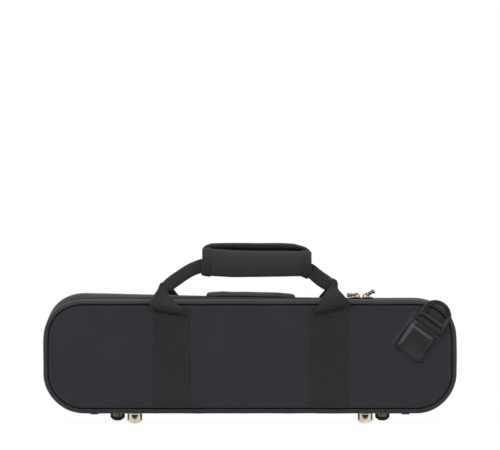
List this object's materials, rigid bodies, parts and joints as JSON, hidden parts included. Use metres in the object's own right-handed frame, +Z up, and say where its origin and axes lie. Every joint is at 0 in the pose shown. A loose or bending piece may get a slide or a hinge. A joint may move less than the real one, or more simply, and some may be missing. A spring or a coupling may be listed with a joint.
{
  "type": "flute case",
  "caption": "Oblong padded flute case with a zipped lid hinged along its bottom edge, webbing carrying handle with a wrapped grip, strap loops and metal feet.",
  "frame": {"origin": "middle of the case's footprint, at the height of the tips of the feet", "axes": "+X along the case to the right of someone facing the lid, +Y from the lid to the back, +Z up"},
  "size_m": [0.4294, 0.0782, 0.187],
  "materials": {
    "plywood": "satin",
    "foam": "matte",
    "nylon": "matte",
    "zip_tape": "matte",
    "zip_coil": "satin",
    "zinc_steel": "satin",
    "nickel": "polished",
    "zip_metal": "satin",
    "webbing": "matte",
    "grip_nylon": "matte",
    "hook_and_loop": "matte",
    "plush": "matte",
    "leather": "satin",
    "loop_plastic": "satin"
  },
  "bodies": {
    "base": {"base_shell": "plywood", "base_padding": "foam", "rear_band": "nylon", "rear_panel": "nylon", "rear_zip_tape": "zip_tape", "rear_zip_coil": "zip_coil", "rear_spine": "nylon", "rear_foot_nuts": "zinc_steel", "rear_left_foot": "nickel", "rear_right_foot": "nickel", "rear_left_strap": "webbing", "rear_right_strap": "webbing", "joint_insert": "plush", "zip_end_tabs": "nylon", "top_strip": "webbing", "rear_patch": "leather", "rear_tab": "webbing"},
    "lid": {"lid_shell": "plywood", "lid_padding": "foam", "front_band": "nylon", "front_panel": "nylon", "front_zip_tape": "zip_tape", "front_zip_coil": "zip_coil", "front_spine": "nylon", "front_foot_nuts": "zinc_steel", "front_left_foot": "nickel", "front_right_foot": "nickel", "front_left_strap": "webbing", "front_right_strap": "webbing", "lid_pad": "plush", "front_patch": "leather", "front_tab": "webbing"},
    "front_handle": {"front_handle_strap": "webbing", "front_grip": "grip_nylon", "front_grip_fastener": "hook_and_loop"},
    "rear_handle": {"rear_handle_strap": "webbing", "rear_grip": "grip_nylon", "rear_grip_fastener": "hook_and_loop"},
    "front_loop": {"front_loop": "loop_plastic"},
    "rear_loop": {"rear_loop": "loop_plastic"},
    "left_slider": {"left_zip_slider": "zip_metal"},
    "right_slider": {"right_zip_slider": "zip_metal"},
    "left_pull": {"left_zip_pull": "zip_metal"},
    "right_pull": {"right_zip_pull": "zip_metal"}
  },
  "joints": [
    {"name": "lid_hinge", "type": "hinge", "parent": "base", "child": "lid", "pos_m": [0, -0.009, 0.0103], "axis": [1, 0, 0], "range_deg": [0, 100]},
    {"name": "front_handle_hinge", "type": "hinge", "parent": "lid", "child": "front_handle", "pos_m": [0, -0.03475, 0.1172], "axis": [1, 0, 0], "range_deg": [0, 150]},
    {"name": "rear_handle_hinge", "type": "hinge", "parent": "base", "child": "rear_handle", "pos_m": [0, 0.03475, 0.1172], "axis": [1, 0, 0], "range_deg": [-150, 0]},
    {"name": "left_slider_run", "type": "slide", "parent": "base", "child": "left_slider", "axis": [1, 0, 0], "range_m": [-0.27, 0]},
    {"name": "right_slider_run", "type": "slide", "parent": "base", "child": "right_slider", "axis": [1, 0, 0], "range_m": [0, 0.04]},
    {"name": "left_pull_hinge", "type": "hinge", "parent": "left_slider", "child": "left_pull", "pos_m": [0.1112, -0.009, 0.13335], "axis": [0, 1, 0], "range_deg": [0, 110]},
    {"name": "right_pull_hinge", "type": "hinge", "parent": "right_slider", "child": "right_pull", "pos_m": [0.1216, -0.009, 0.13335], "axis": [0, 1, 0], "range_deg": [-82, 0]},
    {"name": "front_loop_hinge", "type": "hinge", "parent": "lid", "child": "front_loop", "pos_m": [0.18609, -0.0361, 0.10213], "axis": [0.8202, 0, -0.5721], "range_deg": [0, 120]},
    {"name": "rear_loop_hinge", "type": "hinge", "parent": "base", "child": "rear_loop", "pos_m": [-0.18609, 0.0361, 0.10213], "axis": [-0.8202, 0, -0.5721], "range_deg": [0, 120]}
  ]
}
